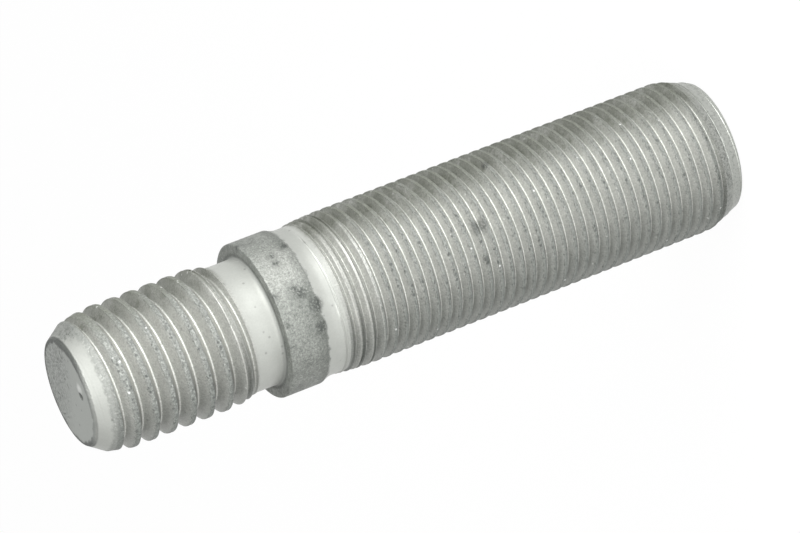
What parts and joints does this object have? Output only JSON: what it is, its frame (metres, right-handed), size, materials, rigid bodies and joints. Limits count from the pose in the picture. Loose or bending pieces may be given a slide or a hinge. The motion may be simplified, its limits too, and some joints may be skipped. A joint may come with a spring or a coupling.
{
  "type": "double-ended wheel stud",
  "caption": "Double-ended steel wheel stud: a short coarse thread that screws into a hub, a collar that seats on it, and a long fine thread for the wheel nut.",
  "frame": {"origin": "centre of the nut end face, which the stud stands on", "axes": "+Z along the stud's axis, from the nut end to the hub end"},
  "size_m": [0.02, 0.02, 0.09],
  "materials": {
    "zinc_flake_steel": "satin"
  },
  "bodies": {
    "root": {"stud": "zinc_flake_steel"}
  },
  "joints": []
}
